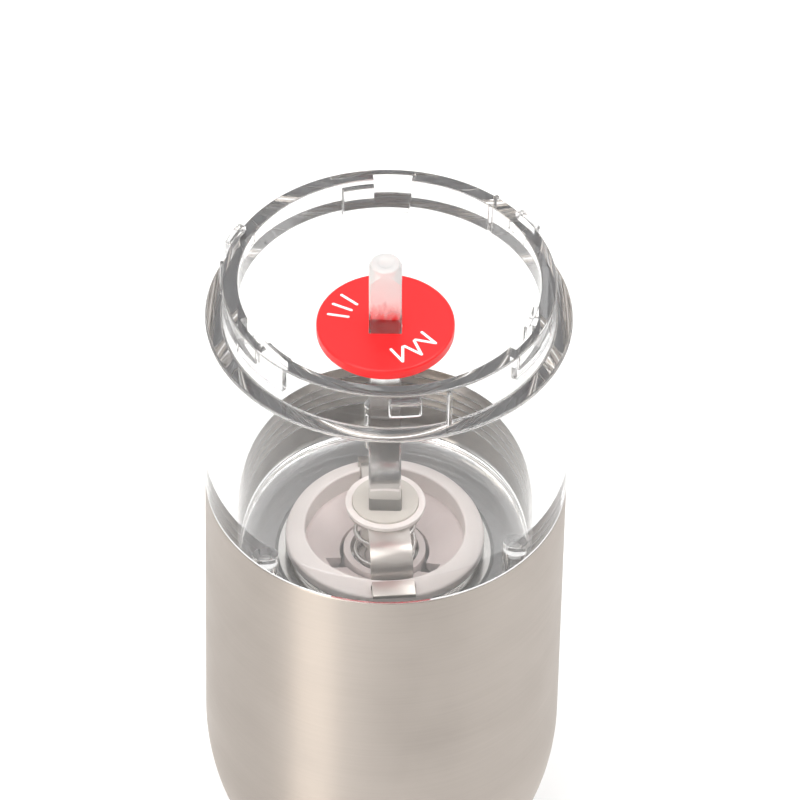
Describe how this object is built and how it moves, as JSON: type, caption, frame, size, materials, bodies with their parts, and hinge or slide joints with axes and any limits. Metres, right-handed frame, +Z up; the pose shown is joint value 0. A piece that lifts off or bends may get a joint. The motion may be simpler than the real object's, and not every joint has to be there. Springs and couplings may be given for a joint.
{
  "type": "pepper mill",
  "caption": "Pepper mill with its head off: clear hopper with bayonet collar and square drive shaft, ceramic burr set, and a rounded brushed steel body that catches the grounds.",
  "frame": {"origin": "centre of the foot ring's underside, where the mill stands on the table", "axes": "+Z up along the mill's axis; the bridge over the burr set runs 6 degrees off the Y axis; the mill is round about Z"},
  "size_m": [0.062, 0.062, 0.1421],
  "materials": {
    "clear_acrylic": "polished clear acrylic, moulded, slightly scuffed inside",
    "brushed_steel": "stainless steel with fine brushing around the body",
    "liner_plastic": "grey moulded plastic, satin",
    "dark_plastic": "black moulded plastic, fine grain",
    "screw_steel": "zinc plated, bright",
    "foot_rubber": "matt rubber",
    "silicone": "translucent silicone",
    "white_plastic": "white moulded plastic, satin",
    "spring_steel": "bright drawn spring steel",
    "burr_ceramic": "fine unglazed ceramic, faintly pink",
    "strip_steel": "stainless strip with rolled grain",
    "red_plastic": "glossy red with printed white level marks",
    "bush_plastic": "natural acetal, satin"
  },
  "bodies": {
    "base": {"steel_shell": "brushed_steel", "catch_cup": "liner_plastic", "base_plate": "dark_plastic", "base_screws": "screw_steel", "foot_ring": "foot_rubber"},
    "hopper_unit": {"hopper": "clear_acrylic", "coupling_ring": "liner_plastic", "seal_ring": "silicone", "hopper_screws": "screw_steel", "floor_gasket": "silicone", "grinder_housing": "white_plastic", "housing_clip": "spring_steel", "stator": "burr_ceramic", "bridge": "strip_steel", "rotor_spring": "spring_steel", "spider": "white_plastic", "knob_clip": "spring_steel"},
    "drive": {"drive_shaft": "clear_acrylic", "fill_disc": "red_plastic", "shaft_bush": "bush_plastic", "bush_washer": "white_plastic", "bush_clip": "spring_steel", "spindle": "strip_steel"},
    "rotor_unit": {"rotor": "burr_ceramic", "thrust_ball": "spring_steel", "spring_washer": "spring_steel"},
    "adjuster": {"adjuster_knob": "dark_plastic"},
    "lifter_pin": {"lifter": "strip_steel"}
  },
  "joints": [
    {"name": "hopper_lift", "type": "slide", "parent": "base", "child": "hopper_unit", "axis": [0, 0, 1], "range_m": [0, 0.023]},
    {"name": "shaft_spin", "type": "hinge", "parent": "hopper_unit", "child": "drive", "pos_m": [0, 0, 0.088], "axis": [0, 0, 1], "continuous": true},
    {"name": "rotor_travel", "type": "slide", "parent": "drive", "child": "rotor_unit", "axis": [0, 0, -1], "range_m": [0, 0.00081], "deforming": ["rotor_spring"]},
    {"name": "adjuster_turn", "type": "hinge", "parent": "hopper_unit", "child": "adjuster", "pos_m": [0, 0, 0.049], "axis": [0, 0, 1], "range_deg": [0, 290]},
    {"name": "lifter_travel", "type": "slide", "parent": "hopper_unit", "child": "lifter_pin", "axis": [0, 0, -1], "range_m": [0, 0.0008]}
  ],
  "couplings": [
    {"joint": "adjuster_turn", "follows": "lifter_travel", "rad_per_m": 6283.2},
    {"joint": "rotor_travel", "follows": "lifter_travel", "ratio": 1}
  ]
}
